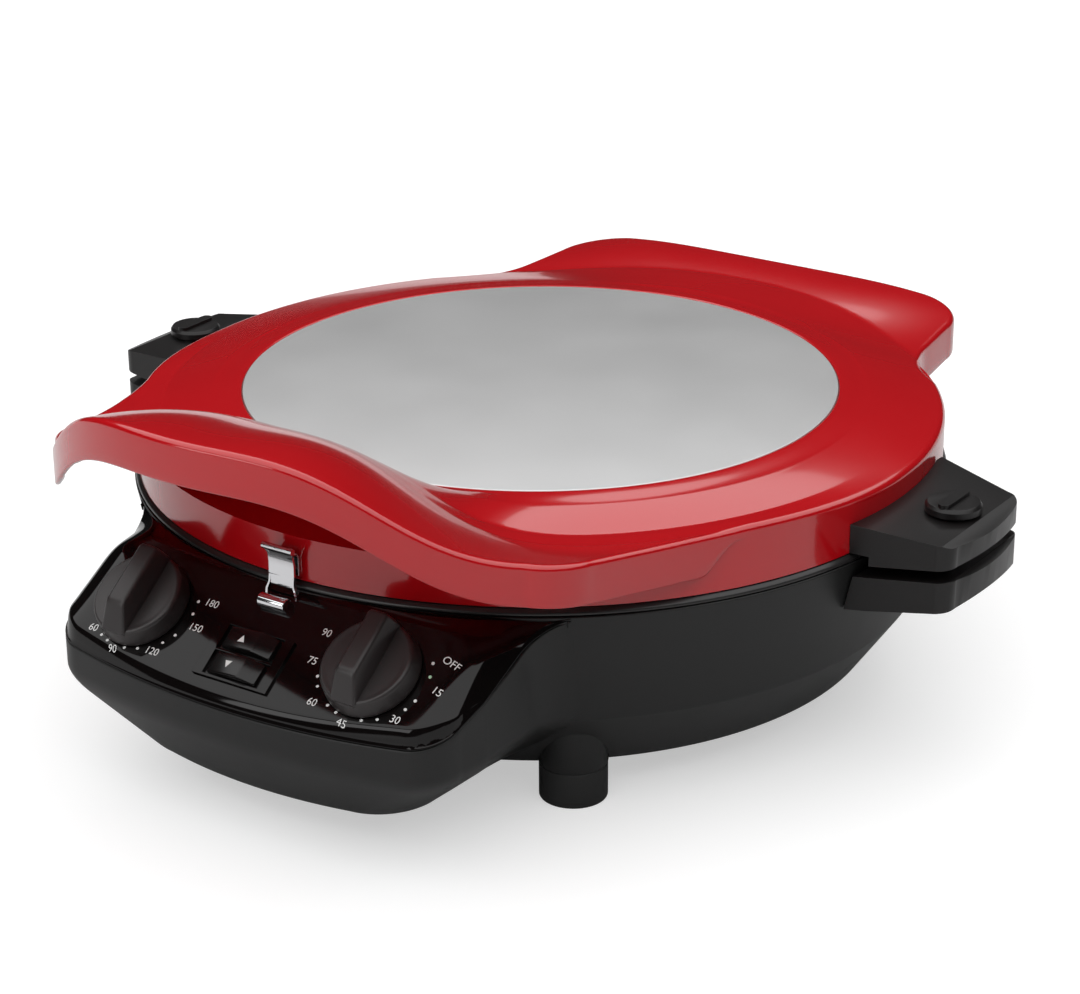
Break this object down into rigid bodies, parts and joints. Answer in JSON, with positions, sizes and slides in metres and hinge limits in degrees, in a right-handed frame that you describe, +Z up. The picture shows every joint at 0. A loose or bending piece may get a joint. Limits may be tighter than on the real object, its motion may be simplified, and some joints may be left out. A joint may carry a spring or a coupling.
{
  "type": "electric pizza maker",
  "caption": "Round countertop pizza maker with a hinged domed lid, arched hand hood, front control housing, turning knobs, rocker switches and paired side handles.",
  "frame": {"origin": "on the table under the middle of the whole object", "axes": "+X to the object's right side handle seen from its front, +Y from the control panel towards the lid hinge, +Z up"},
  "size_m": [0.452, 0.461, 0.1805],
  "materials": {
    "red_enamel": "gloss",
    "satin_disc": "satin",
    "gloss_black": "gloss",
    "matte_black": "matte",
    "handle_black": "satin",
    "knob_black": "satin",
    "rocker_black": "gloss",
    "fitting_black": "satin",
    "rubber": "matte",
    "nonstick": "satin",
    "trim_black": "satin",
    "aluminised_steel": "satin",
    "mechanism_steel": "brushed",
    "dark_steel": "satin",
    "element_steel": "matt",
    "bright_steel": "bright"
  },
  "bodies": {
    "base": {"base_inner_pan": "aluminised_steel", "base_shell": "matte_black", "bottom_cover": "matte_black", "control_panel": "gloss_black", "cord_gland": "fitting_black", "cover_screws": "bright_steel", "foot_back_left": "rubber", "foot_back_right": "rubber", "foot_front_left": "rubber", "foot_front_right": "rubber", "foot_screws": "bright_steel", "hinge_bracket_left": "dark_steel", "hinge_bracket_right": "dark_steel", "hinge_pin_left": "bright_steel", "hinge_pin_right": "bright_steel", "latch_bracket": "bright_steel", "latch_pin": "bright_steel", "lower_baking_plate": "nonstick", "lower_handle_left": "handle_black", "lower_handle_right": "handle_black", "lower_handle_screws_left": "bright_steel", "lower_handle_screws_right": "bright_steel", "lower_heater_clips": "bright_steel", "lower_heating_element": "element_steel", "rim_trim": "trim_black", "switch_contacts": "fitting_black", "switch_frame": "fitting_black", "terminal_block": "fitting_black", "thermostat": "mechanism_steel", "timer_mechanism": "mechanism_steel"},
    "lid": {"lid_cover": "red_enamel", "lid_ring": "red_enamel", "top_disc": "satin_disc", "lid_heat_shield": "aluminised_steel", "upper_baking_plate": "nonstick", "upper_plate_rim": "nonstick", "upper_heating_element": "element_steel", "upper_heater_clips": "bright_steel", "upper_handle_left": "handle_black", "upper_handle_right": "handle_black", "upper_handle_screws_left": "bright_steel", "upper_handle_screws_right": "bright_steel", "latch_catch": "bright_steel", "hinge_arm_left": "dark_steel", "hinge_arm_right": "dark_steel"},
    "temperature_dial": {"temperature_knob": "knob_black", "temperature_spindle": "bright_steel"},
    "timer_dial": {"timer_knob": "knob_black", "timer_spindle": "bright_steel"},
    "rocker_upper": {"rocker_upper": "rocker_black"},
    "rocker_lower": {"rocker_lower": "rocker_black"},
    "latch_lever": {"latch_lever": "bright_steel"},
    "latch_loop": {"latch_loop": "bright_steel"},
    "handle_lock_left": {"handle_lock_left": "handle_black", "handle_lock_shank_left": "bright_steel"},
    "handle_lock_right": {"handle_lock_right": "handle_black", "handle_lock_shank_right": "bright_steel"}
  },
  "joints": [
    {"name": "lid_hinge", "type": "hinge", "parent": "base", "child": "lid", "pos_m": [0, 0.2155, 0.097], "axis": [-1, 0, 0], "range_deg": [0, 100]},
    {"name": "temperature_turn", "type": "hinge", "parent": "base", "child": "temperature_dial", "pos_m": [-0.0593, -0.18554, 0.08102], "axis": [0, -0.5948, 0.8039], "range_deg": [-42, 190]},
    {"name": "timer_turn", "type": "hinge", "parent": "base", "child": "timer_dial", "pos_m": [0.0593, -0.18554, 0.08102], "axis": [0, -0.5948, 0.8039], "range_deg": [-108, 112]},
    {"name": "rocker_upper_tilt", "type": "hinge", "parent": "base", "child": "rocker_upper", "pos_m": [0, -0.18669, 0.07619], "axis": [0, 0.8039, 0.5948], "range_deg": [0, 14]},
    {"name": "rocker_lower_tilt", "type": "hinge", "parent": "base", "child": "rocker_lower", "pos_m": [0, -0.1965, 0.06893], "axis": [0, 0.8039, 0.5948], "range_deg": [0, 14]},
    {"name": "latch_lever_turn", "type": "hinge", "parent": "base", "child": "latch_lever", "pos_m": [0, -0.1695, 0.0895], "axis": [1, 0, 0], "range_deg": [-60, 0]},
    {"name": "latch_loop_turn", "type": "hinge", "parent": "latch_lever", "child": "latch_loop", "pos_m": [0, -0.1685, 0.0865], "axis": [1, 0, 0], "range_deg": [0, 75]},
    {"name": "handle_lock_left_turn", "type": "hinge", "parent": "lid", "child": "handle_lock_left", "pos_m": [-0.2065, 0.0205, 0.112], "axis": [0, 0, 1], "range_deg": [0, 90]},
    {"name": "handle_lock_right_turn", "type": "hinge", "parent": "lid", "child": "handle_lock_right", "pos_m": [0.2065, 0.0205, 0.112], "axis": [0, 0, 1], "range_deg": [0, 90]}
  ],
  "couplings": [
    {"joint": "latch_loop_turn", "follows": "latch_lever_turn", "ratio": -1.25}
  ]
}
